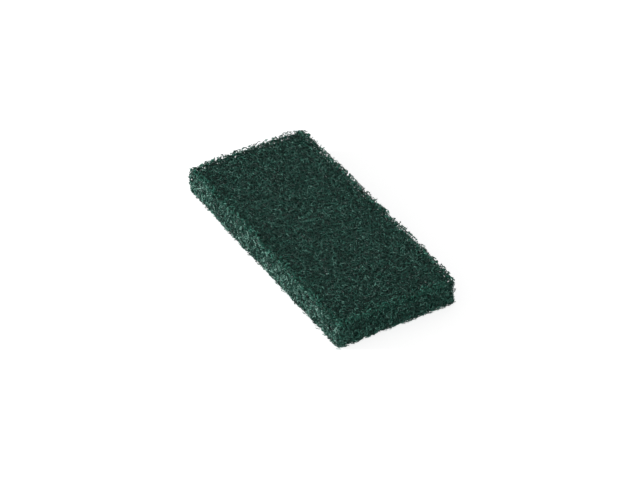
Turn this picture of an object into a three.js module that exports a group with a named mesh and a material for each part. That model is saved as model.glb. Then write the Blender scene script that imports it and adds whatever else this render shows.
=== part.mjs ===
// Nylon scouring pad: one die-cut block of thick, springy nonwoven web.
//
// The pad lies flat. X runs along its length, Y across its width and Z up, in millimetres.
// The origin is at the centre of the lower face. Both faces are alike, so the pad works either
// way up. Its highest tufts are pressed level, as packing leaves them, with open pits between,
// and so is a small patch at the middle of each face.
import * as THREE from "three";
import { mergeVertices } from "three/addons/utils/BufferGeometryUtils.js";

// Overall size
const LENGTH = 254;
const WIDTH = 118;
const THICKNESS = 26;

// Rounding of the cut block
const CORNER_RADIUS = 5; // of the outline, seen from above
const RIM_RADIUS = 4; // where a face turns over into a cut side

// Relief of the tangled web, all of it cut inwards from the block's outer planes
const TUFT_SPACING = 4.4; // from one tuft to the next
const TUFT_DEPTH = 2.0; // of the deepest pit in a face
const RAGGED_DEPTH = 2.6; // of the deepest notch in a cut side
const CLUMP_SPACING = 13.2; // from one clump of tufts to the next
const CLUMP_SHARE = 0.3; // of the relief that comes from the clumps
const SWAY_SPACING = 48; // between the slow waves of a cut side
const SWAY_DEPTH = 0.5; // of those waves
const LEVEL_NOISE = 0.38; // noise up to this stays at the outer plane
const PIT_NOISE = 0.8; // noise from this up is at full depth
const PATCH_RADIUS = 7; // of the level patch at the middle of each face

// Steps of the surface between the rounded rims, and round each rim
const STEPS_ALONG = 56;
const STEPS_ACROSS = 26;
const STEPS_DEEP = 4;
const RIM_STEPS = 3;

const WEB_COLOUR = 0x2c5047;
const WEB_ROUGHNESS = 0.85;

// Layers of the noise, each with its own set of lattice values
const TUFTS = 1;
const CLUMPS = 2;
const SWAY = 3;

// A repeatable number from 0 to 1 for one point of one layer's lattice.
const LATTICE_MIX = new THREE.Vector4(127.1, 311.7, 74.7, 53.3);
const LATTICE_GAIN = 43758.5453;
function latticeValue(x, y, z, layer) {
  const mixed = Math.sin(new THREE.Vector4(x, y, z, layer).dot(LATTICE_MIX)) * LATTICE_GAIN;
  return mixed - Math.floor(mixed);
}

// Smooth noise from 0 to 1: the eight lattice values round a point, blended by its place
// between them.
function smoothNoise(point, spacing, layer) {
  const place = point.clone().divideScalar(spacing);
  const cell = place.clone().floor();
  const within = place.clone().sub(cell);
  const blend = within.toArray().map((t) => t * t * (3 - 2 * t));
  let sum = 0;
  for (const dx of [0, 1]) {
    for (const dy of [0, 1]) {
      for (const dz of [0, 1]) {
        const weight =
          (dx ? blend[0] : 1 - blend[0]) *
          (dy ? blend[1] : 1 - blend[1]) *
          (dz ? blend[2] : 1 - blend[2]);
        sum += weight * latticeValue(cell.x + dx, cell.y + dy, cell.z + dz, layer);
      }
    }
  }
  return sum;
}

// Share of the full depth that a noise value stands for: 0 up to LEVEL_NOISE, 1 from PIT_NOISE.
function depthShare(noise) {
  return THREE.MathUtils.clamp((noise - LEVEL_NOISE) / (PIT_NOISE - LEVEL_NOISE), 0, 1);
}

// How deep the tangle is open at a point, from 0 on a pressed tuft to 1 in the deepest pit:
// noise as close as the tufts, mixed with wider noise that gathers them in clumps.
function openness(point) {
  if (Math.hypot(point.x, point.y) < PATCH_RADIUS) {
    return 0;
  }
  const tufts = smoothNoise(point, TUFT_SPACING, TUFTS);
  const clumps = smoothNoise(point, CLUMP_SPACING, CLUMPS);
  return depthShare(THREE.MathUtils.lerp(tufts, clumps, CLUMP_SHARE));
}

// Place of one grid step along a side of the block, from its centre: RIM_STEPS close steps
// round each rim, and even ones between.
function station(step, evenSteps, size) {
  const inner = size / 2 - RIM_RADIUS;
  const fromCentre = Math.abs(step);
  const half = evenSteps / 2;
  const place =
    fromCentre <= half
      ? (inner * fromCentre) / half
      : inner + (RIM_RADIUS * (fromCentre - half)) / RIM_STEPS;
  return Math.sign(step) * place;
}

// Takes a place in a square corner of side radius to the quarter circle that rounds it: the
// larger of the two stays as the distance from the corner's centre.
function rounded(a, b) {
  const reach = Math.max(a, b);
  const length = Math.hypot(a, b);
  return [(a * reach) / length, (b * reach) / length];
}

// Moves a point of the square block onto the rounded block, and gives its outward direction.
function roundedBlock(point) {
  const sign = point.toArray().map((v) => Math.sign(v) || 1);
  const along = Math.abs(point.x) - (LENGTH / 2 - CORNER_RADIUS);
  const across = Math.abs(point.y) - (WIDTH / 2 - CORNER_RADIUS);

  // The outline: outward is the direction in plan from the corner's centre, or square to a side.
  const outward = new THREE.Vector2(along > across ? 1 : 0, along > across ? 0 : 1);
  let plan = [along, across];
  if (along > 0 && across > 0) {
    plan = rounded(along, across);
    outward.set(plan[0], plan[1]).normalize();
  }

  // The section: inset is from the outline and sunk from the face, both 0 to RIM_RADIUS there.
  const inset = CORNER_RADIUS - Math.max(along, across);
  const sunk = THICKNESS / 2 - Math.abs(point.z);
  let side = inset < sunk ? 1 : 0;
  let face = 1 - side;
  let pulledIn = 0;
  let pulledDown = 0;
  if (inset < RIM_RADIUS && sunk < RIM_RADIUS) {
    const [a, b] = rounded(RIM_RADIUS - inset, RIM_RADIUS - sunk);
    pulledIn = RIM_RADIUS - inset - a;
    pulledDown = RIM_RADIUS - sunk - b;
    [side, face] = [a / RIM_RADIUS, b / RIM_RADIUS];
  }
  const place = new THREE.Vector3(
    sign[0] * (LENGTH / 2 - CORNER_RADIUS + plan[0] - pulledIn * outward.x),
    sign[1] * (WIDTH / 2 - CORNER_RADIUS + plan[1] - pulledIn * outward.y),
    sign[2] * (Math.abs(point.z) - pulledDown),
  );
  const normal = new THREE.Vector3(
    sign[0] * side * outward.x,
    sign[1] * side * outward.y,
    sign[2] * face,
  ).normalize();
  return { place, normal, side };
}

// Splits each four-sided cell along the shorter of its two diagonals, so that the relief has no
// grain of its own. A cell is two triangles in a row, over corners a, b, d and b, c, d.
const CORNERS_PER_CELL = 6;
function turnDiagonals(geometry) {
  const position = geometry.getAttribute("position");
  const index = geometry.index;
  const corner = (i) => new THREE.Vector3().fromBufferAttribute(position, i);
  for (let start = 0; start < index.count; start += CORNERS_PER_CELL) {
    const [a, b, d] = [0, 1, 2].map((k) => index.getX(start + k));
    const c = index.getX(start + 4);
    if (corner(a).distanceTo(corner(c)) < corner(b).distanceTo(corner(d))) {
      [a, b, c, a, c, d].forEach((vertex, k) => index.setX(start + k, vertex));
    }
  }
}

// The whole web as one closed surface: a box of even cells, its grid lines set by station(), its
// edges rounded, and each point then sunk by the relief along its inward direction.
function webGeometry() {
  const steps = [STEPS_ALONG, STEPS_ACROSS, STEPS_DEEP].map((even) => even + 2 * RIM_STEPS);
  const box = new THREE.BoxGeometry(...steps, ...steps);
  box.deleteAttribute("normal");
  box.deleteAttribute("uv");
  const geometry = mergeVertices(box);
  const position = geometry.getAttribute("position");
  for (let i = 0; i < position.count; i++) {
    const square = new THREE.Vector3(
      station(position.getX(i), STEPS_ALONG, LENGTH),
      station(position.getY(i), STEPS_ACROSS, WIDTH),
      station(position.getZ(i), STEPS_DEEP, THICKNESS),
    );
    const { place, normal, side } = roundedBlock(square);
    const deepest = THREE.MathUtils.lerp(TUFT_DEPTH, RAGGED_DEPTH, side);
    const sway = side * SWAY_DEPTH * depthShare(smoothNoise(place, SWAY_SPACING, SWAY));
    place.addScaledVector(normal, -(deepest * openness(place) + sway));
    position.setXYZ(i, place.x, place.y, place.z + THICKNESS / 2);
  }
  turnDiagonals(geometry);
  geometry.computeVertexNormals();
  return geometry;
}

const web = new THREE.Mesh(
  webGeometry(),
  new THREE.MeshStandardMaterial({
    color: WEB_COLOUR,
    roughness: WEB_ROUGHNESS,
    metalness: 0,
    flatShading: true,
  }),
);
web.name = "scouring_pad";

const pad = new THREE.Group();
pad.add(web);

export default pad;
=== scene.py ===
"""Nylon scouring pad: a die-cut block of lofty web, drawn as its dense inside and the crimped
fibres that tangle over it, with loose loops along its cut rims."""

from itertools import product
from math import cos, pi, radians, sin

import bpy
import numpy as np
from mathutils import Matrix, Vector


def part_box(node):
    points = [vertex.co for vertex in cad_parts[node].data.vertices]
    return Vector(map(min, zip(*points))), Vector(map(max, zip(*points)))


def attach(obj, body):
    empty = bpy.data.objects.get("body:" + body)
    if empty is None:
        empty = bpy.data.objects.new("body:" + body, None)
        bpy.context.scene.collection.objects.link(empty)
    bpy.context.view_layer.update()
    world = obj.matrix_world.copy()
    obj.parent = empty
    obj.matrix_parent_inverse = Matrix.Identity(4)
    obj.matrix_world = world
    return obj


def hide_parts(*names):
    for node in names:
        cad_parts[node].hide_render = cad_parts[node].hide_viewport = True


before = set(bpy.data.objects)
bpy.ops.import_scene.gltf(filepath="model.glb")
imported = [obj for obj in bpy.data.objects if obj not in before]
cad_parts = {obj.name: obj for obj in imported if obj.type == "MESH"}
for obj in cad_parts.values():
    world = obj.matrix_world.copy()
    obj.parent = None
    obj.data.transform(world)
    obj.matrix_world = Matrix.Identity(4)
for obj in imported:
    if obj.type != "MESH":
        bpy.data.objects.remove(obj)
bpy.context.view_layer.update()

# Lengths of the web are in millimetres, and MM turns them to metres. Those of the floor, the lamps
# and the camera are in metres.
MM = 0.001
PER_METRE = 1 / MM
BODY = "root"
NODE = "scouring_pad"
LOWEST, HIGHEST = (np.array(corner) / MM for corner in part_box(NODE))
CENTRE = (LOWEST + HIGHEST) / 2
HALF = (HIGHEST - LOWEST) / 2

# The die-cut block
CORNER_RADIUS = 6.0
RIM_RADIUS = 4.0

# Relief of its surface: the crown of its upper face, which turns down towards the rims in a band of
# CROWN_WIDTH, the slow sway of its cut sides, closer swells, and the tufts and pits of the tangle,
# which the cut opens more on the sides than the press leaves on the faces. Tufts stand PROUD of
# the block's planes.
CROWN_DEPTH = 1.3
CROWN_WIDTH = 12
CROWN_CORNER_RADIUS = 26
SWAY_SPACING = 32
SIDE_SWAY_DEPTH = 2.4
SWELL_SPACING = 8
FACE_SWELL_DEPTH = 0.2
SIDE_SWELL_DEPTH = 2.0
TUFT_SPACING = 2.2
FACE_TUFT_DEPTH = 0.25
SIDE_TUFT_DEPTH = 1.6
FACE_PROUD = 0.3
SIDE_PROUD = 1.8

# Noise: how a point of its lattice is mixed to one number, and its layers, each with its own values
NOISE_MIX = (127.1, 311.7, 74.7)
NOISE_LAYER_STEP = 53.3
NOISE_GAIN = 43758.5453
SWELLS = 1
TUFTS = 2
SWAY = 16

# The dense inside, seen between the fibres
FACE_CORE_DEPTH = 1.6
SIDE_CORE_DEPTH = 3.2
UPPER_CORE_RIM_RADIUS = 9.0
LOWER_CORE_RIM_RADIUS = 2.5
CORE_CORNER_RADIUS = 7.0
CORE_CELL = 1.8

# One fibre: real ones are about 0.2 mm thick with their resin, drawn coarser so that they show
FIBRE_THICKNESS = 0.6
FIBRE_LENGTH = 5.4
STATIONS = 6
SIDES = 3
FLOOR_GAP = 0.02  # so that no fibre lies in the plane that the pad stands on

# Ranges that each fibre draws from: how far its crimp swings its heading and how many waves it
# makes, the same for the waves that tip it out of its plane, and its length and its thickness as
# shares of the sizes above
CRIMP_SWING = (0.5, 1.3)
CRIMP_WAVES = (0.6, 1.5)
TIP_SWING = (0.1, 0.6)
TIP_WAVES = (0.6, 1.4)
LENGTH_SHARE = (0.7, 1.3)
THICKNESS_SHARE = (0.75, 1.25)

# Where fibres start: how far inside the outline on the faces, and the widths of the bands below
# and beside the upper rims in which they thin out
FACE_MARGIN = 1.5
FACE_THINNED = 7.0
SIDE_THINNED = 5.0


def unit(vectors):
    """Each vector divided by its own length."""
    return vectors / np.maximum(np.linalg.norm(vectors, axis=-1, keepdims=True), 1e-9)


def smooth_noise(points, spacing, layer):
    """Noise from 0 to 1: repeatable values at the corners of cubes of that spacing, each the
    fraction part of a large sine, blended by t * t * (3 - 2 * t) of the place between them."""
    place = points / spacing
    cell = np.floor(place)
    part = place - cell
    part = part * part * (3 - 2 * part)
    total = np.zeros(points.shape[:-1])
    for step in product((0, 1), repeat=3):
        mixed = np.sin((cell + step) @ NOISE_MIX + NOISE_LAYER_STEP * layer) * NOISE_GAIN
        total += (mixed - np.floor(mixed)) * np.where(step, part, 1 - part).prod(axis=-1)
    return total


def corner_distance(past_a, past_b, radius):
    """Distance from a square corner rounded by that radius, and its two outward parts.
    past_a and past_b are the distances past the corner's two sides, negative inside. Where both
    are within the round, outward leads away from its centre; elsewhere it is square to a side."""
    a, b = past_a + radius, past_b + radius
    reach = np.hypot(np.maximum(a, 0), np.maximum(b, 0))
    distance = reach + np.minimum(np.maximum(a, b), 0) - radius
    in_round = (a > 0) & (b > 0)
    share = 1 / np.maximum(reach, 1e-9)
    return distance, np.where(in_round, a * share, a > b), np.where(in_round, b * share, a <= b)


def block_distance(points, rim_radius=RIM_RADIUS, corner_radius=CORNER_RADIUS):
    """Distance from the block, negative inside, and the direction that leads out: the rounded
    corner formula in plan, and then again between the outline and the two faces."""
    from_centre = points - CENTRE
    past = np.abs(from_centre) - HALF
    outline, out_x, out_y = corner_distance(past[..., 0], past[..., 1], corner_radius)
    distance, out_plan, out_z = corner_distance(outline, past[..., 2], rim_radius)
    outward = np.stack([out_plan * out_x, out_plan * out_y, out_z], axis=-1)
    return distance, outward * np.where(from_centre < 0, -1, 1)


def between(on_face, on_side, outward):
    """A size that goes from its value on a face to that on a cut side as outward turns level."""
    return on_side + (on_face - on_side) * np.abs(outward[..., 2])


def slow_relief(points, outward):
    """How far the web's shape lies inside the block: the crown of its upper face, which is the
    square of the nearness to the outline, the sway of its sides to and fro, and its swells."""
    past = np.abs(points - CENTRE) - HALF
    outline = corner_distance(past[..., 0], past[..., 1], CROWN_CORNER_RADIUS)[0]
    near = np.maximum(1 + outline / CROWN_WIDTH, 0)
    crown = CROWN_DEPTH * near**2 * np.maximum(outward[..., 2], 0)
    sway = between(0, SIDE_SWAY_DEPTH, outward) * (smooth_noise(points, SWAY_SPACING, SWAY) - 0.5)
    swells = between(FACE_SWELL_DEPTH, SIDE_SWELL_DEPTH, outward)
    return crown + sway + swells * smooth_noise(points, SWELL_SPACING, SWELLS)


def relief(points, outward):
    """How far the web's surface lies inside the block: its slow relief, and its tufts and pits."""
    tufts = between(FACE_TUFT_DEPTH, SIDE_TUFT_DEPTH, outward)
    proud = between(FACE_PROUD, SIDE_PROUD, outward)
    tangle = tufts * smooth_noise(points, TUFT_SPACING, TUFTS)
    return slow_relief(points, outward) + tangle - proud


def new_piece(name, points, faces, material):
    """Makes a mesh from points in millimetres and faces of three or four corners, and hands it to
    the frame as part of the web. faces is a list of arrays, one row of corners for each face."""
    mesh = bpy.data.meshes.new(name)
    mesh.vertices.add(len(points))
    mesh.vertices.foreach_set("co", (points * MM).astype(np.float32).ravel())
    corners = np.concatenate([group.ravel() for group in faces])
    counts = np.concatenate([np.full(len(group), group.shape[1]) for group in faces])
    mesh.loops.add(len(corners))
    mesh.loops.foreach_set("vertex_index", corners.astype(np.int32))
    mesh.polygons.add(len(counts))
    mesh.polygons.foreach_set("loop_start", (np.cumsum(counts) - counts).astype(np.int32))
    mesh.polygons.foreach_set("use_smooth", np.full(len(counts), True))
    mesh.update(calc_edges=True)
    mesh.materials.append(material)
    piece = bpy.data.objects.new(name, mesh)
    bpy.context.scene.collection.objects.link(piece)
    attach(piece, BODY)
    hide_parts(NODE)
    return piece


# Materials

def linear(colour):
    """Linear RGBA of an sRGB colour given as a hex number."""
    parts = np.array([colour >> 16 & 255, colour >> 8 & 255, colour & 255]) / 255
    parts = np.where(parts <= 0.04045, parts / 12.92, ((parts + 0.055) / 1.055) ** 2.4)
    return (*parts.tolist(), 1.0)


def add_node(tree, kind, settings=None, inputs=None):
    """Adds a node, with its settings, and each input set to a value or linked from a socket."""
    node = tree.nodes.new(kind)
    for name, value in (settings or {}).items():
        setattr(node, name, value)
    for name, value in (inputs or {}).items():
        if isinstance(value, bpy.types.NodeSocket):
            tree.links.new(value, node.inputs[name])
        else:
            node.inputs[name].default_value = value
    return node


def set_stops(node, stops):
    """Gives a colour ramp its stops, as pairs of place and hex colour."""
    elements = node.color_ramp.elements
    while len(elements) < len(stops):
        elements.new(1.0)
    for element, (place, colour) in zip(elements, stops):
        element.position = place
        element.color = linear(colour)


def new_material(name):
    """An empty material, its tree and its output node."""
    material = bpy.data.materials.new(name)
    material.use_nodes = True
    tree = material.node_tree
    tree.nodes.clear()
    return material, tree, add_node(tree, "ShaderNodeOutputMaterial")


def coated_nylon(name, stops):
    """Crimped nylon staple dipped in a green resin: a satin coat, a little darker or paler from
    fibre to fibre and along each one, as the resin is thick or thin. stops gives its colours."""
    grit_spacing, grit_height, grit_contrast = 0.8, 0.1, 0.25
    grit_low, grit_high = 0.3, 0.7
    material, tree, output = new_material(name)
    place = add_node(tree, "ShaderNodeTexCoord").outputs["Object"]
    strand = add_node(tree, "ShaderNodeAttribute", {"attribute_name": "strand"}).outputs["Fac"]
    grit = add_node(
        tree, "ShaderNodeTexNoise",
        inputs={"Vector": place, "Scale": PER_METRE / grit_spacing, "Detail": 2.0},
    ).outputs["Fac"]
    mottle = add_node(
        tree, "ShaderNodeMapRange",
        inputs={
            "Value": grit, "From Min": grit_low, "From Max": grit_high,
            "To Min": -grit_contrast, "To Max": grit_contrast,
        },
    )
    mottled = add_node(
        tree, "ShaderNodeMath", {"operation": "ADD"},
        {0: strand, 1: mottle.outputs["Result"]},
    )
    tone = add_node(tree, "ShaderNodeValToRGB", inputs={"Fac": mottled.outputs[0]})
    set_stops(tone, stops)
    bump = add_node(
        tree, "ShaderNodeBump",
        inputs={"Height": grit, "Distance": grit_height * MM, "Strength": 0.5},
    )
    shader = add_node(
        tree, "ShaderNodeBsdfPrincipled",
        inputs={
            "Base Color": tone.outputs["Color"],
            "Roughness": 0.35,
            "IOR": 1.53,
            "Specular IOR Level": 0.45,
            "Normal": bump.outputs["Normal"],
        },
    )
    tree.links.new(shader.outputs["BSDF"], output.inputs["Surface"])
    return material


def resin_coated_nylon_fibre():
    """The fibres of the web, dark green, with pale specks where the resin is thin; on the near long
    side, which draws more of the palest tones, they are partly painted highlight.
    """
    stops = [(0.0, 0x0A2A23), (0.5, 0x205448), (0.8, 0x417E6E), (1.0, 0x9CCABB)]
    return coated_nylon("resin_coated_nylon_fibre", stops)


def lone_nylon_fibre():
    """The loose fibres of the rims. They stand one by one in the light, which comes through the
    nylon, so that their green is purer."""
    stops = [(0.0, 0x042D21), (0.5, 0x125647), (0.8, 0x36806D), (1.0, 0x90CCB8)]
    return coated_nylon("lone_nylon_fibre", stops)


def painted_shade_nylon_web():
    """The inside of the web between the fibres: the same fibres, too deep for light to reach. Its
    colour is painted shade: darker than the fibres, and darkest in the middle of each pore, where
    the bump sinks a pit.
    """
    pore_spacing, pore_depth = 1.6, 0.6
    material, tree, output = new_material("painted_shade_nylon_web")
    place = add_node(tree, "ShaderNodeTexCoord").outputs["Object"]
    cells = add_node(
        tree, "ShaderNodeTexVoronoi", {"feature": "DISTANCE_TO_EDGE"},
        {"Vector": place, "Scale": PER_METRE / pore_spacing},
    ).outputs["Distance"]
    # Painted shade: the ramp darkens from the pores' rims to their middles, the pits.
    tone = add_node(tree, "ShaderNodeValToRGB", inputs={"Fac": cells})
    set_stops(tone, [(0.0, 0x1F463C), (0.2, 0x15352D), (1.0, 0x0E2620)])
    bump = add_node(
        tree, "ShaderNodeBump", {"invert": True},
        {"Height": cells, "Distance": pore_depth * MM, "Strength": 1.0},
    )
    shader = add_node(
        tree, "ShaderNodeBsdfPrincipled",
        inputs={
            "Base Color": tone.outputs["Color"],
            "Roughness": 0.8,
            "Specular IOR Level": 0.2,
            "Normal": bump.outputs["Normal"],
        },
    )
    tree.links.new(shader.outputs["BSDF"], output.inputs["Surface"])
    return material


# The dense inside

def box_faces(cells):
    """Points and faces of a cube's surface, split into cells[0] x cells[1] x cells[2]. Points run
    from -1 to 1; each of the six sides is a grid of two parameters, and points that two sides
    share are merged."""
    points, faces, first = [], [], 0
    for axis, end in product(range(3), (-1, 1)):
        u, v = (axis + 1) % 3, (axis + 2) % 3
        grid_u, grid_v = np.meshgrid(
            np.arange(cells[u] + 1), np.arange(cells[v] + 1), indexing="ij"
        )
        side = np.zeros((*grid_u.shape, 3), int)
        side[..., axis] = cells[axis] if end > 0 else 0
        side[..., u] = grid_u
        side[..., v] = grid_v
        index = first + np.arange(grid_u.size).reshape(grid_u.shape)
        ring = [index[:-1, :-1], index[1:, :-1], index[1:, 1:], index[:-1, 1:]]
        faces.append(np.stack(ring[::end], axis=-1).reshape(-1, 4))
        points.append(side.reshape(-1, 3))
        first += grid_u.size
    merged, place = np.unique(np.concatenate(points), axis=0, return_inverse=True)
    return merged / np.array(cells) * 2 - 1, place.reshape(-1)[np.concatenate(faces)]


def web_core(material):
    """The block some way inside its outer planes, with the relief of the tangle: each point of an
    even box is moved onto the rounded block along the outward direction, and then sunk by the
    depth of the dense inside and by the relief. Its upper rims are the rounder ones, so that the
    fringe of fibres along them lets light through."""
    cells = np.ceil(2 * HALF / CORE_CELL).astype(int)
    even, faces = box_faces(cells)
    points = CENTRE + even * HALF
    upper = points[:, 2] > CENTRE[2]
    rim_radius = np.where(upper, UPPER_CORE_RIM_RADIUS, LOWER_CORE_RIM_RADIUS)
    distance, outward = block_distance(points, rim_radius, CORE_CORNER_RADIUS)
    points = points - distance[:, None] * outward
    sunk = between(FACE_CORE_DEPTH, SIDE_CORE_DEPTH, outward) + relief(points, outward)
    points = points - sunk[:, None] * outward
    core = new_piece("web_core", points, [faces], material)


# The fibres

def fibre_paths(random, seeds, outward, tilt, slack, curl):
    """Centre lines of crimped fibres, one row of STATIONS points each, its middle at its seed.
    A line is the running sum of equal steps. Its heading turns at a steady rate and swings by a
    sine wave, which is the crimp, in a plane that is tilted from the web's surface, and another
    sine wave tips it in and out of that plane. Where a line passes the web's slow shape by more
    than its slack, which is one for the faces and one for the sides, it is mirrored back, so that
    it ends in a loop there."""
    count = len(seeds)
    along = np.linspace(0, 1, STATIONS)[None, :]

    def draw(low, high):
        return random.uniform(low, high, (count, 1))

    def wave(swing, waves):
        return draw(*swing) * np.sin(2 * pi * (draw(*waves) * along + draw(0, 1)))

    heading = draw(0, 2 * pi) + draw(-curl, curl) * along
    heading = heading + wave(CRIMP_SWING, CRIMP_WAVES)
    tip = wave(TIP_SWING, TIP_WAVES)
    across = unit(np.cross(outward, random.normal(size=(count, 3))))
    lean = draw(*tilt)
    beside = np.cos(lean) * np.cross(outward, across) + np.sin(lean) * outward
    upright = np.cross(across, beside)
    steps = (
        (np.cos(tip) * np.cos(heading))[..., None] * across[:, None]
        + (np.cos(tip) * np.sin(heading))[..., None] * beside[:, None]
        + np.sin(tip)[..., None] * upright[:, None]
    )
    step_length = draw(*LENGTH_SHARE) * FIBRE_LENGTH / (STATIONS - 1)
    lines = np.cumsum(steps, axis=1) * step_length[..., None]
    lines = lines - lines.mean(axis=1, keepdims=True) + seeds[:, None]
    distance, leads_out = block_distance(lines)
    distance = distance + slow_relief(lines, leads_out)
    on_face, on_side = slack
    allowed = between(on_face[:, None], on_side[:, None], leads_out)
    beyond = np.maximum(distance - allowed, 0)
    lines = lines - 2 * beyond[..., None] * leads_out
    lines[:, 1:-1] = (lines[:, :-2] + 2 * lines[:, 1:-1] + lines[:, 2:]) / 4
    return lines


def fibre_tubes(random, lines, thickness):
    """Closed tubes round the lines: a ring of SIDES corners at each station, carried along
    without twist, with a flat end each. Returns the points, the side faces and the ends."""
    count = len(lines)
    ahead = unit(np.gradient(lines, axis=1))
    normal = unit(np.cross(ahead[:, 0], random.normal(size=(count, 3))))
    normals = [normal]
    for station in range(1, STATIONS):
        onward = ahead[:, station]
        normal = unit(normal - (normal * onward).sum(axis=-1, keepdims=True) * onward)
        normals.append(normal)
    normals = np.stack(normals, axis=1)
    others = np.cross(ahead, normals)
    angle = 2 * pi * np.arange(SIDES) / SIDES
    ring = (
        np.cos(angle)[:, None] * normals[:, :, None] + np.sin(angle)[:, None] * others[:, :, None]
    )
    points = lines[:, :, None] + ring * (thickness / 2)[:, None, None, None]
    index = np.arange(count * STATIONS * SIDES).reshape(count, STATIONS, SIDES)
    after = np.roll(index, -1, axis=2)
    sides = np.stack([index[:, :-1], after[:, :-1], after[:, 1:], index[:, 1:]], axis=-1)
    ends = np.concatenate([index[:, 0, ::-1], index[:, -1]])
    return points.reshape(-1, 3), sides.reshape(-1, 4), ends


def map_fibres(piece, count):
    """Gives the piece a map in which each fibre has a cell of its own: along it left to right,
    round it bottom to top, and its two ends in thin bands at the cell's own ends."""
    long_cell, margin = 2.5, 0.1
    end_width, end_height = 0.03, 0.3
    columns = int(np.ceil(np.sqrt(count / long_cell)))
    rows = int(np.ceil(count / columns))
    cell = np.arange(count)
    corner = np.stack([cell % columns, cell // columns], axis=-1)
    station, side = np.meshgrid(np.arange(STATIONS - 1), np.arange(SIDES), indexing="ij")
    u = np.stack([station, station, station + 1, station + 1], axis=-1) / (STATIONS - 1)
    v = np.stack([side, side + 1, side + 1, side], axis=-1) / SIDES
    within = margin + (1 - 2 * margin) * np.stack([u, v], axis=-1)
    sides = corner[:, None, None, None] + within
    angle = 2 * pi * np.arange(SIDES) / SIDES
    ring = np.stack([end_width * np.cos(angle), end_height * np.sin(angle)], axis=-1)
    starts = corner[:, None] + ring[::-1] + (margin / 2, 0.5)
    finishes = corner[:, None] + ring + (1 - margin / 2, 0.5)
    places = np.concatenate([part.reshape(-1, 2) for part in (sides, starts, finishes)])
    layer = piece.data.uv_layers.new(name="OFBake")
    layer.uv.foreach_set("vector", (places / (columns, rows)).astype(np.float32).ravel())


def fibre_piece(name, seed, material, seeds, depth, tilt, slack, tones, curl=3.5, thickness=1.0):
    """One piece of fibres. depth is the range of depths below the web's surface of the fibres'
    middles, tilt that of the lean of the planes that they curl in, and tones that of their places
    from dark to pale. slack gives, for the faces and for the sides, the least and the mean further
    way that loops may stand past the web's slow shape. curl is the most that a heading turns, and
    thickness a share of FIBRE_THICKNESS."""
    random = np.random.default_rng(seed)
    count = len(seeds)
    distance, outward = block_distance(seeds)
    sunk = relief(seeds, outward) + random.uniform(*depth, count)
    seeds = seeds - (distance + sunk)[:, None] * outward
    slacks = [least + random.exponential(mean, count) for least, mean in slack]
    widths = FIBRE_THICKNESS * thickness * random.uniform(*THICKNESS_SHARE, count)
    lines = fibre_paths(random, seeds, outward, tilt, slacks, curl)
    points, sides, ends = fibre_tubes(random, lines, widths)
    points[:, 2] = np.maximum(points[:, 2], LOWEST[2] + FLOOR_GAP)
    piece = new_piece(name, points, [sides, ends], material)
    strand = np.repeat(random.uniform(*tones, count), STATIONS * SIDES)
    piece.data.attributes.new("strand", "FLOAT", "POINT").data.foreach_set("value", strand)
    map_fibres(piece, count)


def thinned(random, seeds, nearness):
    """Keeps every seed where nearness to a rim is 0, and fewer as it goes up to 1."""
    return seeds[random.uniform(size=len(seeds)) > nearness]


def face_seeds(seed, count, end):
    """Points spread over the upper face, where end is 1, or over the lower, where it is -1: one
    at a random place in each cell of an even grid that stays FACE_MARGIN inside the outline. On
    the upper face they thin out over FACE_THINNED towards the rims."""
    random = np.random.default_rng(seed)
    across = int(round(np.sqrt(count * HALF[1] / HALF[0])))
    along = int(np.ceil(count / across))
    index = np.arange(count)
    place = np.stack([index // across, index % across], axis=-1) + random.uniform(size=(count, 2))
    seeds = np.empty((count, 3))
    seeds[:, :2] = CENTRE[:2] + (HALF[:2] - FACE_MARGIN) * (place / (along, across) * 2 - 1)
    seeds[:, 2] = CENTRE[2] + end * HALF[2]
    inset = (HALF - np.abs(seeds - CENTRE))[:, :2].min(axis=-1)
    return thinned(random, seeds, (end > 0) * (1 - inset / FACE_THINNED))


def side_seeds(seed, count, axis):
    """Points spread over the two cut sides that face along that axis, thinned out over
    SIDE_THINNED towards the upper rims."""
    random = np.random.default_rng(seed)
    seeds = random.uniform(CENTRE - HALF, CENTRE + HALF, (count, 3))
    seeds[:, axis] = CENTRE[axis] + HALF[axis] * random.choice((-1, 1), count)
    return thinned(random, seeds, 1 - (HIGHEST[2] - seeds[:, 2]) / SIDE_THINNED)


def rim_seeds(seed, count, end, spread):
    """Points spread along the four rims of the upper face, where end is 1, or of the lower, where
    it is -1, as often as their lengths ask, and up to spread in from the outline."""
    random = np.random.default_rng(seed)
    seeds = random.uniform(CENTRE - HALF, CENTRE + HALF, (count, 3))
    side = random.choice((-1, 1), count)
    inset = random.uniform(0, spread, count)
    on_long_side = random.uniform(size=count) < HALF[0] / (HALF[0] + HALF[1])
    seeds[:, 1] = np.where(on_long_side, CENTRE[1] + (HALF[1] - inset) * side, seeds[:, 1])
    seeds[:, 0] = np.where(on_long_side, seeds[:, 0], CENTRE[0] + (HALF[0] - inset) * side)
    seeds[:, 2] = CENTRE[2] + HALF[2] * end
    return seeds


# Ranges for the pieces of fibres. FLAT and ANY are leans in radians from the web's surface, and
# MUTED and MIXED are places from dark to pale. The others are slacks: for the faces and then for
# the sides, the least and the mean further way past the web's slow shape.
FLAT = (0.0, 0.6)
ANY = (0.0, pi / 2)
MUTED = (0.0, 0.8)
MIXED = (0.0, 1.0)
PRESSED = ((0.0, 0.3), (0.6, 0.5))
OPENED = ((0.4, 0.4), (-2.0, 2.0))
CUT = ((0.0, 0.4), (0.6, 0.9))
RAGGED = ((0.0, 0.4), (0.0, 1.5))
LOOSE = ((2.4, 0.9), (3.2, 1.0))

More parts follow.
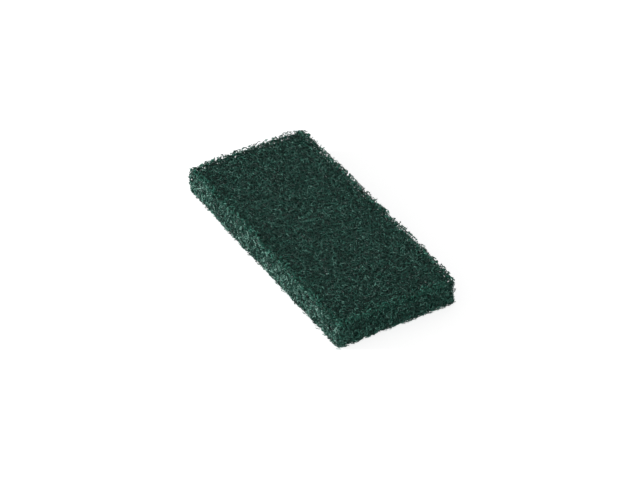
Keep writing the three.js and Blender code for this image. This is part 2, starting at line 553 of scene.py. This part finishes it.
nylon = resin_coated_nylon_fibre()
web_core(painted_shade_nylon_web())
fibre_piece(
    "upper_face_under_fibres", 11, nylon, face_seeds(21, 6200, 1),
    depth=(0.8, 1.6), tilt=FLAT, slack=OPENED, tones=MUTED,
)
fibre_piece(
    "upper_face_fibres", 12, nylon, face_seeds(22, 6200, 1),
    depth=(0.0, 0.8), tilt=FLAT, slack=OPENED, tones=MUTED,
)
fibre_piece(
    "lower_face_fibres", 13, nylon, face_seeds(23, 5000, -1),
    depth=(0.0, 1.4), tilt=FLAT, slack=PRESSED, tones=MUTED,
)
# The near long side, lit by the key lamp, draws tones up to the palest: partly the fibres' own
# random tone, partly painted highlight for the bright strands that the lamp picks out there.
fibre_piece(
    "long_side_fibres", 14, nylon, side_seeds(24, 4400, 1),
    depth=(0.0, 3.4), tilt=ANY, slack=CUT, tones=MIXED, thickness=1.1,
)
fibre_piece(
    "end_fibres", 15, nylon, side_seeds(25, 2400, 0),
    depth=(0.0, 2.6), tilt=ANY, slack=CUT, tones=MUTED, thickness=1.15,
)
fibre_piece(
    "upper_rim_fibres", 16, lone_nylon_fibre(), rim_seeds(26, 2100, 1, 6),
    depth=(-3.3, 2.4), tilt=ANY, slack=LOOSE, tones=MUTED, curl=7.0, thickness=1.35,
)
fibre_piece(
    "lower_rim_fibres", 17, nylon, rim_seeds(27, 1400, -1, 1),
    depth=(-1.6, 1.0), tilt=ANY, slack=RAGGED, tones=MIXED,
)


# Floor, light and camera

def pale_floor():
    """A plain pale floor. For the camera it glows a little, so that it shows white where it is
    lit, and the pad's soft shadow stays on it."""
    side, glow_strength = 6.0, 0.74
    corners = [(-side, -side, 0), (side, -side, 0), (side, side, 0), (-side, side, 0)]
    mesh = bpy.data.meshes.new("floor")
    mesh.from_pydata(corners, [], [(0, 1, 2, 3)])
    floor = bpy.data.objects.new("floor", mesh)
    bpy.context.scene.collection.objects.link(floor)
    material, tree, output = new_material("plain_white_floor")
    diffuse = add_node(tree, "ShaderNodeBsdfDiffuse", inputs={"Color": linear(0xC4C4C4)})
    path = add_node(tree, "ShaderNodeLightPath")
    glow = add_node(
        tree, "ShaderNodeMath", {"operation": "MULTIPLY"},
        {0: path.outputs["Is Camera Ray"], 1: glow_strength},
    )
    emission = add_node(tree, "ShaderNodeEmission", inputs={"Strength": glow.outputs[0]})
    both = add_node(
        tree, "ShaderNodeAddShader",
        inputs={0: diffuse.outputs[0], 1: emission.outputs[0]},
    )
    tree.links.new(both.outputs[0], output.inputs["Surface"])
    mesh.materials.append(material)


def studio_light():
    """An even pale surround, dimmer as a light than the camera sees it, and two soft lamps at a
    low height: the key on the camera's left, which lights the near long side, and a weaker one
    that fills the near end."""
    world = bpy.data.worlds.new("studio")
    bpy.context.scene.world = world
    world.use_nodes = True
    tree = world.node_tree
    tree.nodes.clear()
    path = add_node(tree, "ShaderNodeLightPath")
    strength = add_node(
        tree, "ShaderNodeMapRange",
        inputs={"Value": path.outputs["Is Camera Ray"], "To Min": 0.46, "To Max": 1.0},
    )
    background = add_node(
        tree, "ShaderNodeBackground",
        inputs={"Color": (1, 1, 1, 1), "Strength": strength.outputs["Result"]},
    )
    output = add_node(tree, "ShaderNodeOutputWorld")
    tree.links.new(background.outputs[0], output.inputs["Surface"])

    # Sizes are in metres, energies in watts
    away = 2.0
    for name, size, energy, towards in (
        ("key", 0.4, 45, (-0.50, -0.82, 0.24)),
        ("fill", 0.8, 14, (0.96, -0.12, 0.16)),
    ):
        lamp = bpy.data.lights.new(name, "AREA")
        lamp.shape = "DISK"
        lamp.size = size
        lamp.energy = energy
        holder = bpy.data.objects.new(name, lamp)
        bpy.context.scene.collection.objects.link(holder)
        direction = Vector(towards).normalized()
        holder.location = direction * away
        holder.rotation_euler = direction.to_track_quat("Z", "Y").to_euler()


def photo_camera():
    """The photograph's view, fitted to the pad's outline, with the pad a little above the middle
    of the frame."""
    azimuth, elevation = radians(58.8), radians(38.6)
    distance, sensor, image_width, focal_pixels = 2.4, 36.0, 640, 2780
    # How far the middle of the frame lies below and beside the pad's centre, in millimetres
    below, beside = 5.1, 0.6
    back = Vector((sin(azimuth) * cos(elevation), -cos(azimuth) * cos(elevation), sin(elevation)))
    right = Vector((cos(azimuth), sin(azimuth), 0))
    up = back.cross(right)
    aim = Vector(CENTRE * MM) - up * below * MM + right * beside * MM
    camera = bpy.data.cameras.new("photo_camera")
    camera.sensor_width = sensor
    camera.lens = sensor * focal_pixels / image_width
    camera.clip_end = 20
    holder = bpy.data.objects.new("photo_camera", camera)
    holder.location = aim + back * distance
    holder.rotation_euler = back.to_track_quat("Z", "Y").to_euler()
    bpy.context.scene.collection.objects.link(holder)
    bpy.context.scene.camera = holder


pale_floor()
studio_light()
photo_camera()
bpy.context.scene.view_settings.view_transform = "Standard"
